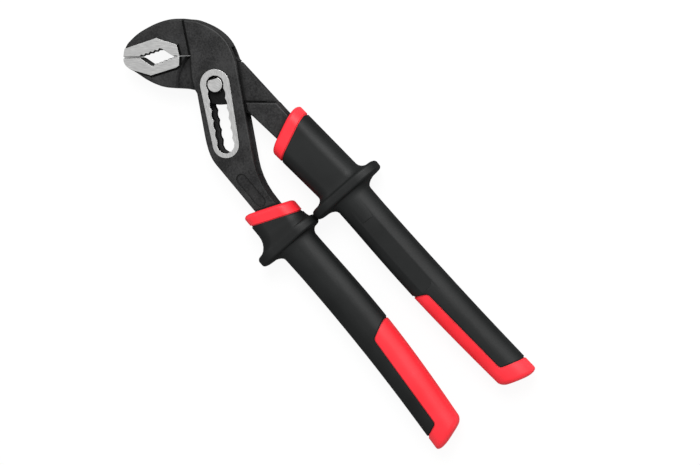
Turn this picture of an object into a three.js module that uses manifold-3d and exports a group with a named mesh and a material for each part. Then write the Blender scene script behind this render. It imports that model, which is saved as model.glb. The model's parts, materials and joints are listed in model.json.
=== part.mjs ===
// Pipe pliers with a box joint, lying flat with the bolt's axis along Z. Millimetres and degrees.
// The plan is drawn round the joint bolt: X runs from the jaws to the handle ends, and Y points
// from the outer half's handle to the inner half's. A group at the end sets the tool on its base.
import * as THREE from 'three';
import { mergeVertices } from 'three/addons/utils/BufferGeometryUtils.js';
import Module from 'manifold-3d';

const wasm = await Module();
wasm.setup();

// Joint bolt, its slot and the spring ring that holds it
const boltDiameter = 7.4;
const boltFlat = 2.75;
const boltFlatAngle = 156;
const boltChamfer = 0.4;
const boltGap = 0.15;
const notchPlay = 1.4;
const channelPlay = 0.3;
const notchPitch = 4.9;
const notchCount = 7;
const slotAngle = -30.5;
const springWire = 1.1;
const springGap = 0.25;
const springBite = 0.5;
const springOpening = 50;

// Thicknesses of the forgings
const webThickness = 5;
const slitGap = 0.25;
const cheekThickness = 2.7;
const bandRise = 0.3;
const jawThickness = 9;
const padRise = 0.25;
const shankThickness = 8;
const neckTaper = 0.55;
const tangThickness = 6;
const forgedEdge = 1;

// Ground band round the slot
const bandAtJaws = 3.05;
const bandAtNeck = 2.25;

// Cheeks of the outer half, measured from the slot's centre line, and the slit's ends
const cheekToJaws = 9.9;
const cheekToShank = 12.3;
const pocketGap = 2.1;
const slitEndRadius = 22;

// Jaws, drawn with the parting line nearly level and turned by the jaw angle
const jawAngle = 49;
const jawReach = 46.5;
const hookRise = 31.6;
const chinDrop = 15;
const partingHeight = 14.1;
const partingLean = 1.8;
const partingGap = 0.2;
const mouthRise = 3.6;
const mouthDrop = 4;
const toothPitch = 2.3;
const toothDepth = 0.8;
const rampGap = 0.1;
const rampWidth = 1.6;

// Inner half's web and shank
const webBelowBolt = 9.8;
const shankTop = 16.1;
const shankTopRise = 1.8;
const shankWidth = 12.4;
const shankSpread = 4.6;
const creaseDrop = 8.5;
const creaseGap = 0.5;
const swingAngle = 55;
const swingGap = 0.6;

// Outer half's neck, behind the slot, with its panel
const neckDrop = 10.5;
const neckHeight = 10.6;
const neckTaperStart = 38;
const panelStart = 2.4;
const panelEnd = 1.4;
const panelHeight = 5.2;
const panelDepth = 0.5;

// Grips along the tool: collars, sleeves, guards, grips and heels
const innerCollar = 37.8;
const outerCollar = 61.3;
const collarLength = 6.7;
const collarSlant = 22.3;
const outerSleeve = 16.1;
const guardThickness = 5.2;
const gripLength = 120;
const heelCap = 9.6;
const heelSlant = 18;
const heelRounding = 3.4;
const stripLength = 59;
const stripSlant = 26;

// Grips across the tool
const sleeveWidth = 24;
const sleeveThickness = 16;
const gripWidth = 19;
const gripThickness = 15;
const gripRounding = 6.6;
const edgeRounding = 1.6;
const coverWall = 2.6;
const guardOuterReach = 20;
const guardMeeting = -5;
const guardGap = 0.8;
const guardDepth = 20;
const guardFlare = 3.8;
const footDip = 0.16;

// Places of the two handles across the tool, and of the red strips from their centre lines
const innerCollarHeight = 11.6;
const innerGuardHeight = 15.1;
const innerHeelHeight = 21.1;
const innerBow = 1.2;
const outerHandleDrop = 0.3;
const outerHeelDrop = 2.8;
const outerBow = 2.2;
const innerStripStart = 2.4;
const innerStripEnd = 1.8;
const outerStripStart = -0.4;
const outerStripEnd = -1;

// Seats and tangs inside the grips
const seatDepth = 5.5;
const gripGap = 0.3;
const tangWidth = 10;
const tangTipWidth = 6.4;
const tangTipDepth = 14.6;

// Fineness of the round shapes
const cornerSteps = 4;
const curveSteps = 5;
const roundSteps = 24;
const bevelSteps = 2;

// Lengths that run past what they cut, and the sizes worked out from those above
const nearness = 0.001;
const overrun = 3;
const farAway = 60;
const boltRadius = boltDiameter / 2;
const springInner = boltRadius - springBite;
const springOuter = springInner + springWire;
const notchDiameter = boltDiameter + notchPlay;
const notchRadius = notchDiameter / 2;
const slotTravel = notchPitch * (notchCount - 1);
const webHalf = webThickness / 2;
const slitHalf = webHalf + slitGap;
const boxHalf = slitHalf + cheekThickness;
const bandHalf = boxHalf + bandRise;
const jawHalf = jawThickness / 2;
const shankHalf = shankThickness / 2;
const neckHalf = boxHalf - neckTaper;
const tangHalf = tangThickness / 2;
const guardPlace = outerCollar + outerSleeve;
const gripStart = guardPlace + guardThickness;
const heelPlace = gripStart + gripLength;
const tangEnd = heelPlace - tangTipDepth;

// Materials
const steel = { color: 0x3c3c3d, roughness: 0.5, metalness: 0.6 };
const bright = { color: 0xb9b8b6, roughness: 0.4, metalness: 0.9 };
const spring = { color: 0x6f7073, roughness: 0.4, metalness: 0.9 };
const red = { color: 0xe8202c, roughness: 0.45, metalness: 0 };
const black = { color: 0x26292a, roughness: 0.6, metalness: 0 };

// Frames of the plan: a point along and across a direction, turned into X and Y
const radians = (degrees) => THREE.MathUtils.degToRad(degrees);
const frameAt = (angle) => (along, across) => new THREE.Vector2(along, across)
  .rotateAround(new THREE.Vector2(), radians(angle));
const jawPoint = frameAt(jawAngle);
const slotPoint = frameAt(slotAngle);
const lastNotch = slotPoint(slotTravel, 0);

// A jaw's parting surface at a place along the jaws: the upper one's for side 1, the lower one's for -1
const parting = (side, along) => partingHeight + side * partingGap / 2
  + along * Math.tan(radians(partingLean));

// Where the line through a along u meets the line through b along v
function crossing(a, u, b, v) {
  const gap = b.clone().sub(a);
  return a.clone().addScaledVector(u, gap.cross(v) / u.cross(v));
}

// A closed mesh with merged vertices as a solid
function solidOf(geometry) {
  const plain = geometry.index ? geometry.toNonIndexed() : geometry;
  plain.deleteAttribute('normal');
  plain.deleteAttribute('uv');
  const merged = mergeVertices(plain);
  return new wasm.Manifold(new wasm.Mesh({
    numProp: 3,
    vertProperties: new Float32Array(merged.attributes.position.array),
    triVerts: new Uint32Array(merged.index.array),
  }));
}

// A solid as a named mesh with its material
function meshOf(name, solid, finish) {
  const { vertProperties, triVerts } = solid.getMesh();
  const geometry = new THREE.BufferGeometry();
  geometry.setAttribute('position', new THREE.BufferAttribute(vertProperties, 3));
  geometry.setIndex(new THREE.BufferAttribute(triVerts, 1));
  geometry.computeVertexNormals();
  const mesh = new THREE.Mesh(geometry, new THREE.MeshStandardMaterial(finish));
  mesh.name = name;
  return mesh;
}

// An outline's points: of two that are nearer than the spacing, the one with the sharper turn,
// and none in the middle of a straight edge
function corners(shape, steps, spacing) {
  const points = shape.getPoints(steps)
    .filter((point, index, all) => point.distanceTo(all.at(index - 1)) > nearness);
  const turns = points.map((point, index) => {
    const into = point.clone().sub(points.at(index - 1)).normalize();
    const away = points[(index + 1) % points.length].clone().sub(point).normalize();
    return Math.abs(into.cross(away));
  });
  const kept = [];
  points.forEach((point, index) => {
    const crowded = kept.length > 0 && points[kept.at(-1)].distanceTo(point) < spacing;
    if (turns[index] > nearness && !crowded) kept.push(index);
    if (crowded && turns[index] > turns[kept.at(-1)]) kept[kept.length - 1] = index;
  });
  return kept.map((index) => points[index]);
}

// A flat piece with its outline in plan, from low to high, its edges cut back by bevel
function plate(shape, low, high, bevel = 0, steps = curveSteps) {
  const geometry = new THREE.ExtrudeGeometry(new THREE.Shape(corners(shape, steps, bevel)), {
    depth: high - low - 2 * bevel,
    bevelEnabled: bevel > 0,
    bevelThickness: bevel,
    bevelSize: bevel,
    bevelOffset: -bevel,
    bevelSegments: bevelSteps,
  });
  geometry.translate(0, 0, low + bevel);
  return solidOf(geometry);
}

// The same, centred on the middle plane
const slab = (shape, half, bevel, steps) => plate(shape, -half, half, bevel, steps);
const outline = (points) => new THREE.Shape(points);
const joined = (solids) => solids.reduce((sum, solid) => sum.add(solid));

// A disc in plan round a centre
function disc(centre, radius) {
  const shape = new THREE.Shape();
  shape.absarc(centre.x, centre.y, radius, 0, 2 * Math.PI);
  return shape;
}

// A revolved piece round the bolt's axis, from a profile of radius and height
function revolved(profile) {
  const points = profile.map(([radius, height]) => new THREE.Vector2(radius, height));
  const geometry = new THREE.LatheGeometry(points, 2 * roundSteps);
  geometry.rotateX(Math.PI / 2);
  return solidOf(geometry);
}

// Directions along X, along the slot and along the jaws
const levelAlong = new THREE.Vector2(1, 0);
const slotAlong = slotPoint(1, 0);
const jawAlong = jawPoint(1, 0);

// Outer half: the contour of its head, from the jaw tip over the top to the back,
// as shares of the jaws' reach and the hook's rise
const hookShares = [
  [-1, 0.42], [-0.978, 0.57], [-0.913, 0.685], [-0.8, 0.812], [-0.61, 0.945],
  [-0.42, 1], [-0.2, 0.965], [0, 0.83], [0.14, 0.63],
];
const hookPoint = ([along, up]) => jawPoint(along * jawReach, up * hookRise);
const crown = hookShares.findIndex(([, up]) => up === 1) + 1;

// The step between the thin jaws and the thicker box
const stepShares = { top: [-0.345, 0.99], foot: -0.268 };
const stepAlong = stepShares.foot * jawReach;
const stepTop = hookPoint(stepShares.top);
const stepFoot = jawPoint(stepAlong, parting(1, stepAlong));

// Neck edges behind the slot
const neckLow = lastNotch.y - neckDrop;
const neckTop = neckLow + neckHeight;
const neckMiddle = (neckLow + neckTop) / 2;

// Edges of the inner half's shank as heights over X
const shankLean = Math.atan2(shankTopRise, innerCollar);
const shankHigh = (x) => shankTop + shankTopRise * x / innerCollar;
const shankLow = (x) => shankHigh(innerCollar) - shankWidth + shankSpread * (x / innerCollar - 1);

// The handles: each has a collar, a sleeve, a guard, a grip and a heel along its centre line,
// and a root of its forging inside the collar
const outerHandleHeight = neckMiddle - outerHandleDrop;
const handles = {
  inner: {
    inward: -1, collar: innerCollar, start: innerCollarHeight, guard: innerGuardHeight,
    heel: innerHeelHeight, bow: innerBow, strip: [innerStripStart, innerStripEnd],
    rootLow: shankLow, rootHigh: shankHigh, rootHalf: shankHalf,
  },
  outer: {
    inward: 1, collar: outerCollar, start: outerHandleHeight, guard: outerHandleHeight,
    heel: outerHandleHeight - outerHeelDrop, bow: outerBow, strip: [outerStripStart, outerStripEnd],
    rootLow: () => neckLow, rootHigh: () => neckTop, rootHalf: neckHalf,
  },
};

// Height of a handle's centre line at X
function centreOf(handle, x) {
  if (x < guardPlace) {
    const share = (x - handle.collar) / (guardPlace - handle.collar);
    return THREE.MathUtils.lerp(handle.start, handle.guard, share);
  }
  const share = Math.min(Math.max((x - gripStart) / gripLength, 0), 1);
  return THREE.MathUtils.lerp(handle.guard, handle.heel, share)
    + handle.inward * handle.bow * Math.sin(Math.PI * share);
}

// The slanted end of a root inside the collar, as X at a height and as a corner on an edge
const seatEnd = (handle, y, grow = 0) => handle.collar + seatDepth + grow
  + handle.inward * Math.tan(radians(collarSlant)) * (y - handle.start);
const seatCorner = (handle, edge, grow = 0, lift = 0) => {
  const y = edge(handle.collar) + lift;
  const x = seatEnd(handle, y, grow);
  return new THREE.Vector2(x, edge(x) + lift);
};

// A handle's tang as a flat bar along its centre line, grown all round for a cavity
function tang(handle, grow) {
  const start = handle.collar - grow;
  const places = [start, gripStart, (gripStart + tangEnd) / 2, tangEnd + grow];
  const bar = places.map((x) => {
    const width = THREE.MathUtils.lerp(tangWidth, tangTipWidth, (x - start) / (tangEnd - start));
    return { x, y: centreOf(handle, x), half: width / 2 + grow };
  });
  const low = bar.map(({ x, y, half }) => new THREE.Vector2(x, y - half));
  const high = bar.map(({ x, y, half }) => new THREE.Vector2(x, y + half)).reverse();
  return slab(outline([...low, ...high]), tangHalf + grow);
}

// The seat that a root fills inside its collar, grown all round
function seat(handle, grow) {
  const start = handle.collar - sleeveWidth;
  return slab(outline([
    new THREE.Vector2(start, handle.rootLow(start) - grow),
    seatCorner(handle, handle.rootLow, grow, -grow), seatCorner(handle, handle.rootHigh, grow, grow),
    new THREE.Vector2(start, handle.rootHigh(start) + grow),
  ]), handle.rootHalf + grow);
}

// Bends of the cheeks' outline: along the slot as shares of the cheeks' width or the slot's
// travel, and down the jaws' frame as shares of the web or the cheeks
const bendShares = { back: -0.7, waist: 1.34, foot: -0.45, belly: -0.1, rise: 0.8, run: 0.5 };

// Outline of the two cheeks with the neck behind them, down to its slanted end
function boxShape() {
  const edge = slotPoint(0, -cheekToJaws);
  const low = new THREE.Vector2(0, neckLow);
  const high = new THREE.Vector2(0, neckTop);
  const back = slotPoint(bendShares.back * cheekToShank, cheekToShank);
  const waist = slotPoint(bendShares.waist * slotTravel, cheekToShank);
  const bend = crossing(waist, slotAlong, high, levelAlong);
  const corner = crossing(edge, slotAlong, low, levelAlong);
  const rise = slotPoint(bendShares.rise * slotTravel, -cheekToJaws);
  const foot = crossing(edge, slotAlong, jawPoint(0, bendShares.foot * webBelowBolt), jawAlong);
  const belly = jawPoint(stepAlong, bendShares.belly * cheekToJaws);
  const shape = new THREE.Shape();
  shape.moveTo(stepFoot.x, stepFoot.y);
  shape.lineTo(stepTop.x, stepTop.y);
  shape.splineThru([...hookShares.slice(crown).map(hookPoint), back]);
  shape.lineTo(waist.x, waist.y);
  shape.quadraticCurveTo(bend.x, bend.y, outerCollar, neckTop);
  shape.lineTo(seatEnd(handles.outer, neckTop), neckTop);
  shape.lineTo(seatEnd(handles.outer, neckLow), neckLow);
  shape.lineTo(corner.x + bendShares.run * neckDrop, neckLow);
  shape.quadraticCurveTo(corner.x, corner.y, rise.x, rise.y);
  shape.lineTo(foot.x, foot.y);
  shape.quadraticCurveTo(belly.x, belly.y, stepFoot.x, stepFoot.y);
  return shape;
}

// The hook with its upper jaw, down past the parting line
function hookShape() {
  const points = hookShares.slice(0, crown + 1).map(hookPoint);
  const inside = jawPoint(hookShares[crown][0] * jawReach, parting(1, 0) - overrun);
  const tip = jawPoint(-jawReach, parting(1, -jawReach) - overrun);
  const shape = new THREE.Shape();
  shape.moveTo(tip.x, tip.y);
  shape.splineThru(points);
  shape.lineTo(inside.x, inside.y);
  return shape;
}

// The ground pad round the mouth, on the upper jaw as shares of the reach and the hook's rise,
// on the lower jaw of the reach and the chin's drop
const upperPadShares = [
  [-1.1, 0.485], [-0.641, 0.704], [-0.415, 0.603], [-0.385, 0.42], [-0.385, 0.2], [-1.1, 0.2],
];
const lowerPadShares = [
  [-1.1, 0.235], [-0.7, 0.567], [-0.42, 0.3], [-0.392, 0.24], [-0.388, -0.2], [-1.1, -0.2],
];

// A jaw as a forging with its pad, before the bite is cut
function padded(shape, padShares, place) {
  const pad = slab(outline(padShares.map(place)), jawHalf + padRise);
  return slab(shape, jawHalf, forgedEdge).add(slab(shape, jawHalf + padRise).intersect(pad));
}

// The mouth's corners, as shares of the jaws' reach: front, upper apex, lower apex and back
const mouthShares = { front: -0.826, upper: -0.574, lower: -0.7, back: -0.456 };

// A jaw's bite: all beyond its parting line, with the mouth's notch and its row of teeth
function bite(side) {
  const upper = side > 0;
  const level = (along) => new THREE.Vector2(along, parting(side, along));
  const front = level(mouthShares.front * jawReach);
  const back = level(mouthShares.back * jawReach);
  const apex = level((upper ? mouthShares.upper : mouthShares.lower) * jawReach);
  apex.y += upper ? mouthRise : -mouthDrop;
  const far = -side * farAway;
  const start = upper ? front : apex;
  const end = upper ? apex : back;
  const flank = end.clone().sub(start);
  const count = Math.floor(flank.length() / toothPitch);
  const along = flank.clone().divideScalar(count);
  const into = new THREE.Vector2(-along.y, along.x).normalize().multiplyScalar(side * toothDepth);
  const teeth = Array.from({ length: count }, (_, index) => [
    start.clone().addScaledVector(along, index),
    start.clone().addScaledVector(along, index + 0.5).add(into),
  ]).flat();
  const edge = upper ? [front, ...teeth, apex, back] : [front, apex, ...teeth, back];
  const right = upper ? stepAlong : 0;
  const points = [
    new THREE.Vector2(-farAway, far), level(-farAway), ...edge, level(right),
    new THREE.Vector2(right, far),
  ];
  const turned = points.map((point) => jawPoint(point.x, point.y));
  return slab(outline(turned), boxHalf + overrun);
}

// The slit between the cheeks: a pocket round the bolt that is open to the back of the head
// as far as the inner half swings, and a round end in the neck
function slit() {
  const line = frameAt(THREE.MathUtils.radToDeg(shankLean) + swingAngle);
  const foot = line(0, shankTop + swingGap);
  const away = line(farAway, shankTop + swingGap);
  const opening = outline([
    foot, away, slotPoint(slotTravel, farAway), slotPoint(slotTravel, -farAway),
    jawPoint(-farAway, parting(0, -farAway)), jawPoint(stepAlong, parting(0, stepAlong)),
  ]);
  return joined([
    slab(opening, slitHalf),
    slab(disc(new THREE.Vector2(), shankTop + pocketGap), slitHalf, 0, roundSteps),
    slab(disc(lastNotch, slitEndRadius), slitHalf, 0, roundSteps),
  ]);
}

// The slot with a round notch at each setting, drawn along X and turned
function slot() {
  const bank = Math.asin((boltDiameter + channelPlay) / notchDiameter);
  const places = Array.from({ length: notchCount }, (_, index) => index * notchPitch);
  const shape = new THREE.Shape();
  const arc = (place, from, to) => shape.absarc(place, 0, notchRadius, from, to);
  places.slice(1, -1).forEach((place) => arc(place, Math.PI + bank, 2 * Math.PI - bank));
  arc(slotTravel, Math.PI + bank, 3 * Math.PI - bank);
  places.slice(1, -1).reverse().forEach((place) => arc(place, bank, Math.PI - bank));
  arc(0, bank, 2 * Math.PI - bank);
  const geometry = new THREE.ExtrudeGeometry(shape, {
    depth: 2 * (bandHalf + overrun), curveSegments: cornerSteps, bevelEnabled: false,
  });
  geometry.translate(0, 0, -bandHalf - overrun);
  geometry.rotateZ(radians(slotAngle));
  return solidOf(geometry);
}

// The ground band round the slot, standing a little proud of both cheeks
function groundBand() {
  const near = notchRadius + bandAtJaws;
  const far = notchRadius + bandAtNeck;
  const lean = Math.asin((near - far) / slotTravel);
  const shape = new THREE.Shape();
  shape.absarc(0, 0, near, Math.PI / 2 - lean, 3 * Math.PI / 2 + lean);
  shape.absarc(slotTravel, 0, far, lean - Math.PI / 2, Math.PI / 2 - lean);
  const geometry = new THREE.ExtrudeGeometry(shape, {
    depth: 2 * bandHalf, curveSegments: cornerSteps * 2, bevelEnabled: false,
  });
  geometry.translate(0, 0, -bandHalf);
  geometry.rotateZ(radians(slotAngle));
  return solidOf(geometry);
}

// Wedges that thin the neck towards the grip, on both faces
function neckWedges() {
  const side = new THREE.Shape([
    new THREE.Vector2(neckTaperStart, boxHalf), new THREE.Vector2(outerCollar, neckHalf),
    new THREE.Vector2(outerCollar + farAway, neckHalf),
    new THREE.Vector2(outerCollar + farAway, boxHalf + overrun),
    new THREE.Vector2(neckTaperStart, boxHalf + overrun),
  ]);
  const geometry = new THREE.ExtrudeGeometry(side, { depth: 2 * farAway, bevelEnabled: false });
  geometry.rotateX(Math.PI / 2);
  geometry.translate(0, farAway, 0);
  const upper = solidOf(geometry.clone());
  geometry.rotateX(Math.PI);
  return upper.add(solidOf(geometry));
}

// The shallow bare panel stamped in the neck's front, parallel to its tapered face
function neckPanel() {
  const run = outerCollar - neckTaperStart;
  const round = panelHeight / 2;
  const shape = new THREE.Shape();
  shape.absarc(round, 0, round, Math.PI / 2, 3 * Math.PI / 2);
  shape.absarc(run - panelStart - panelEnd - round, 0, round, -Math.PI / 2, Math.PI / 2);
  const geometry = new THREE.ExtrudeGeometry(shape, {
    depth: overrun, curveSegments: cornerSteps, bevelEnabled: false,
  });
  geometry.translate(panelStart, 0, -panelDepth);
  geometry.rotateY(Math.atan2(neckTaper, run));
  geometry.translate(neckTaperStart, neckMiddle, boxHalf);
  return solidOf(geometry);
}

function outerHalf() {
  const jaw = padded(hookShape(), upperPadShares, hookPoint).subtract(bite(1));
  const box = slab(boxShape(), boxHalf, forgedEdge);
  return joined([jaw, box, groundBand()])
    .subtract(neckWedges())
    .subtract(neckPanel())
    .subtract(slit())
    .subtract(slot())
    .add(tang(handles.outer, 0));
}

// The thick shank starts below the crease and beside the outer half's cheeks
function shankShape() {
  const beside = slotPoint(0, cheekToShank + creaseGap);
  const crease = jawPoint(0, -creaseDrop);
  const start = (height) => new THREE.Vector2(0, height(0));
  const slope = (height) => new THREE.Vector2(1, height(1) - height(0));
  return outline([
    crossing(start(shankLow), slope(shankLow), beside, slotAlong),
    seatCorner(handles.inner, shankLow), seatCorner(handles.inner, shankHigh),
    crossing(start(shankHigh), slope(shankHigh), crease, jawAlong),
    crossing(beside, slotAlong, crease, jawAlong),
  ]);
}

// The web's underside between the shank and the chin, as shares of its drop below the bolt
const underShares = [
  [1.9, -1.6], [0.85, -1.03], [0, -1], [-0.62, -0.77], [-1.1, -0.28], [-1.96, -0.1],
];

// The thin web through the slit, up to the lower jaw's parting surface
function webShape() {
  const under = underShares.map(([along, up]) => jawPoint(along * webBelowBolt, up * webBelowBolt));
  const front = jawPoint(-rampRadius, parting(-1, -rampRadius));
  const back = jawPoint(0, parting(-1, 0));
  const seat = innerCollar + seatDepth - overrun;
  const shape = new THREE.Shape();
  shape.moveTo(front.x, front.y);
  shape.lineTo(back.x, back.y);
  shape.lineTo(0, shankHigh(0));
  shape.lineTo(seat, shankHigh(seat));
  shape.lineTo(seat, shankLow(seat));
  shape.lineTo(under[0].x, shankLow(under[0].x));
  shape.splineThru(under.slice(1));
  return shape;
}

// The web's round shoulder, from the shank's top edge to the lower jaw's parting surface
function shoulderShape() {
  const shape = new THREE.Shape();
  shape.moveTo(0, 0);
  shape.absarc(0, 0, shankTop * Math.cos(shankLean), Math.PI / 2 + shankLean, stepFoot.angle());
  return shape;
}

// The lower jaw's underside, as shares of the reach and of the chin's drop below the parting line
const chinShares = [
  [-1, 0.1], [-0.975, 0.25], [-0.925, 0.37], [-0.865, 0.48], [-0.755, 0.695], [-0.645, 0.855],
  [-0.55, 0.94], [-0.42, 0.975], [-0.31, 0.99], [-0.24, 1.03],
];
const chinPoint = ([along, down]) => jawPoint(along * jawReach, parting(-1, -jawReach) - down * chinDrop);

function chinShape() {
  const points = chinShares.map(chinPoint);
  const tip = jawPoint(-jawReach, parting(-1, -jawReach) + overrun);
  const inside = jawPoint(stepAlong, parting(-1, stepAlong) + overrun);
  const shape = new THREE.Shape();
  shape.moveTo(tip.x, tip.y);
  shape.lineTo(points[0].x, points[0].y);
  shape.splineThru(points.slice(1));
  shape.lineTo(inside.x, inside.y);
  return shape;
}

// The turned ramp that thins the lower jaw down to the web, just outside the cheeks' corner
const rampRadius = jawPoint(stepAlong, parting(-1, stepAlong)).length() + rampGap;

function ramp() {
  const outer = rampRadius + rampWidth;
  const top = jawHalf + overrun;
  const profile = [
    [0, webHalf], [rampRadius, webHalf], [outer, jawHalf], [outer, top], [0, top],
  ];
  const front = revolved(profile);
  const back = revolved(profile.map(([radius, height]) => [radius, -height]).reverse());
  return front.add(back);
}

// The eye's bore with the groove for the spring ring
function eyeBore() {
  const radius = boltRadius + boltGap;
  const groove = springOuter + springGap;
  const half = springWire / 2 + springGap;
  const end = webHalf + overrun;
  return revolved([
    [0, -end], [radius, -end], [radius, -half], [groove, -half], [groove, half], [radius, half],
    [radius, end], [0, end],
  ]);
}

function innerHalf() {
  const jaw = padded(chinShape(), lowerPadShares, chinPoint).subtract(ramp());
  return joined([jaw, slab(webShape(), webHalf)])
    .subtract(bite(-1))
    .add(slab(shoulderShape(), webHalf, 0, roundSteps / 2))
    .subtract(eyeBore())
    .add(slab(shankShape(), shankHalf, forgedEdge))
    .add(tang(handles.inner, 0));
}

// The joint bolt: round through the web, with one flat on each end that stands in the slot
function jointBolt() {
  const inner = springInner - springGap;
  const half = springWire / 2 + springGap;
  const rim = boltRadius - boltChamfer;
  const shank = revolved([
    [0, -bandHalf], [rim, -bandHalf], [boltRadius, boltChamfer - bandHalf], [boltRadius, -half],
    [inner, -half], [inner, half], [boltRadius, half], [boltRadius, bandHalf - boltChamfer],
    [rim, bandHalf], [0, bandHalf],
  ]);
  const flat = frameAt(boltFlatAngle);
  const beyond = outline([
    flat(boltFlat, -farAway), flat(boltFlat + farAway, -farAway),
    flat(boltFlat + farAway, farAway), flat(boltFlat, farAway),
  ]);
  const ends = plate(beyond, slitHalf, farAway).add(plate(beyond, -farAway, -slitHalf));
  return shank.subtract(ends);
}

// The open spring ring in the eye's groove, which keeps the bolt from sliding out
function springRing() {
  const half = radians(springOpening / 2);
  const shape = new THREE.Shape();
  shape.absarc(0, 0, springOuter, half, 2 * Math.PI - half);
  shape.absarc(0, 0, springInner, 2 * Math.PI - half, half, true);
  return slab(shape, springWire / 2, 0, roundSteps);
}

// Grips: sections of the handles, lofted along them
// Lean of the section at X: with the collar at the front, and with the heel at the end
function leanOf(handle, x) {
  const front = Math.max((guardPlace - x) / (guardPlace - handle.collar), 0);
  const rear = Math.max((x - heelPlace + stripLength) / stripLength, 0);
  return handle.inward * (front * Math.tan(radians(collarSlant)) - rear * Math.tan(radians(heelSlant)));
}

// One section across a handle: a rectangle with round corners, leaning with the handle
function section(handle, { x, inner, outer, thick, round }) {
  const centre = centreOf(handle, x);
  const low = handle.inward > 0 ? -outer : -inner;
  const high = handle.inward > 0 ? inner : outer;
  const radius = Math.min(round, thick - edgeRounding, (high - low) / 2 - edgeRounding);
  const centres = [
    [high - radius, thick - radius, 0], [low + radius, thick - radius, 1],
    [low + radius, radius - thick, 2], [high - radius, radius - thick, 3],
  ];
  const lean = leanOf(handle, x);
  return centres.flatMap(([y, z, quarter]) => Array.from({ length: cornerSteps + 1 }, (_, index) => {
    const angle = (quarter + index / cornerSteps) * Math.PI / 2;
    const across = y + radius * Math.cos(angle);
    return new THREE.Vector3(x + lean * across, centre + across, z + radius * Math.sin(angle));
  }));
}

// A closed skin over a row of sections
function loft(rings) {
  const count = rings[0].length;
  const middle = (ring) => ring.reduce((sum, point) => sum.add(point), new THREE.Vector3())
    .divideScalar(ring.length);
  const points = [...rings.flat(), middle(rings[0]), middle(rings.at(-1))];
  const faces = [];
  rings.slice(1).forEach((_, row) => {
    for (let column = 0; column < count; column += 1) {
      const next = (column + 1) % count;
      const base = row * count;
      faces.push(base + column, base + next, base + count + next);
      faces.push(base + column, base + count + next, base + count + column);
    }
  });
  const last = (rings.length - 1) * count;
  for (let column = 0; column < count; column += 1) {
    const next = (column + 1) % count;
    faces.push(points.length - 2, next, column, points.length - 1, last + column, last + next);
  }
  const geometry = new THREE.BufferGeometry();
  geometry.setAttribute('position', new THREE.BufferAttribute(
    new Float32Array(points.flatMap((point) => point.toArray())), 3));
  geometry.setIndex(faces);
  return solidOf(geometry);
}

// Width of the grip from the guard to the heel, and the roundings of the collar's front, the
// heel's end and the guard's foot, as shares of their sizes along and across
const swellShares = [1, 0.99, 1, 1.01, 1.01, 1, 0.985, 0.97];
const endWidthShare = 0.95;
const frontShares = [[0, 1], [0.33, 0.33], [1, 0]];
const endShares = [[1, 0], [0.3, 0.3], [0, 0.8]];
const footShares = [[1, 0], [0.45, 0.14], [0.12, 0.45]];

// Sections of the bare handle, without its guard, cut back by inset on every side
function handleSections(handle, inset) {
  const sleeve = { half: sleeveWidth / 2 - inset, thick: sleeveThickness / 2 - inset };
  const grip = { half: gripWidth / 2 - inset, thick: gripThickness / 2 - inset };
  const round = Math.max(gripRounding - inset, edgeRounding);
  const even = (x, half, thick) => ({ x, inner: half, outer: half, thick, round });
  const edge = Math.max(edgeRounding - inset, nearness);
  const heel = Math.max(heelRounding - inset, nearness);
  const front = ([along, cut]) => even(
    handle.collar + inset + along * edge, sleeve.half - cut * edge, sleeve.thick - cut * edge);
  const swell = (share, index, all) => even(
    THREE.MathUtils.lerp(gripStart, heelPlace - inset - heel, index / all.length),
    share * grip.half, grip.thick);
  const end = ([along, cut]) => even(
    heelPlace - inset - along * heel, endWidthShare * grip.half - cut * heel, grip.thick - cut * heel);
  return [
    ...frontShares.map(front), even(guardPlace, sleeve.half, sleeve.thick),
    ...swellShares.map(swell), ...endShares.map(end),
  ];
}

// Sections of the guard that stops the hand, flared out of the sleeve and the grip
function guardSections(handle) {
  const meeting = guardMeeting - handle.inward * guardGap / 2;
  const reach = (meeting - handle.guard) * handle.inward;
  const half = edgeRounding / 2;
  const rim = (x, cut) => ({
    x, inner: reach - cut, outer: guardOuterReach - cut, thick: guardDepth / 2 - cut, round: gripRounding,
  });
  const foot = (start, side, width, thickness) => footShares.map(([along, rise]) => ({
    x: start + side * along * guardFlare,
    inner: THREE.MathUtils.lerp(width / 2 - footDip, reach, rise),
    outer: THREE.MathUtils.lerp(width / 2 - footDip, guardOuterReach, rise),
    thick: THREE.MathUtils.lerp(thickness / 2 - footDip, guardDepth / 2, rise),
    round: gripRounding,
  }));
  return [
    ...foot(guardPlace, -1, sleeveWidth, sleeveThickness),
    rim(guardPlace, half), rim(guardPlace + half, 0), rim(gripStart - half, 0), rim(gripStart, half),
    ...foot(gripStart, 1, gripWidth, gripThickness).reverse(),
  ];
}

const skin = (handle, sections) => loft(sections.map((one) => section(handle, one)));

// Zones of the red parts in plan, grown by a gap where they are cut out of the black cover
function redZones(handle, grow) {
  const side = handle.inward;
  const at = (x, across) => new THREE.Vector2(x, centreOf(handle, x) + side * across);
  const collarLean = Math.tan(radians(collarSlant));
  const collarBack = handle.collar + collarLength + grow;
  const collar = outline([
    at(collarBack - collarLean * farAway, -farAway), at(collarBack + collarLean * farAway, farAway),
    at(-farAway, farAway), at(-farAway, -farAway),
  ]);
  const heelLean = Math.tan(radians(heelSlant));
  const capFront = heelPlace - heelCap - grow;
  const heel = outline([
    at(capFront + heelLean * farAway, -farAway), at(heelPlace + farAway, -farAway),
    at(heelPlace + farAway, farAway), at(capFront - heelLean * farAway, farAway),
  ]);
  const start = heelPlace - stripLength - grow;
  const stripLean = Math.tan(radians(stripSlant));
  const [from, to] = handle.strip;
  const strip = outline([
    at(start, from - grow), at(capFront + overrun, to - grow), at(capFront + overrun, farAway),
    at(start - stripLean * sleeveWidth, from - grow + sleeveWidth),
  ]);
  const deep = guardDepth;
  return joined([slab(collar, deep), slab(strip, deep), slab(heel, deep)]);
}

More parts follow.
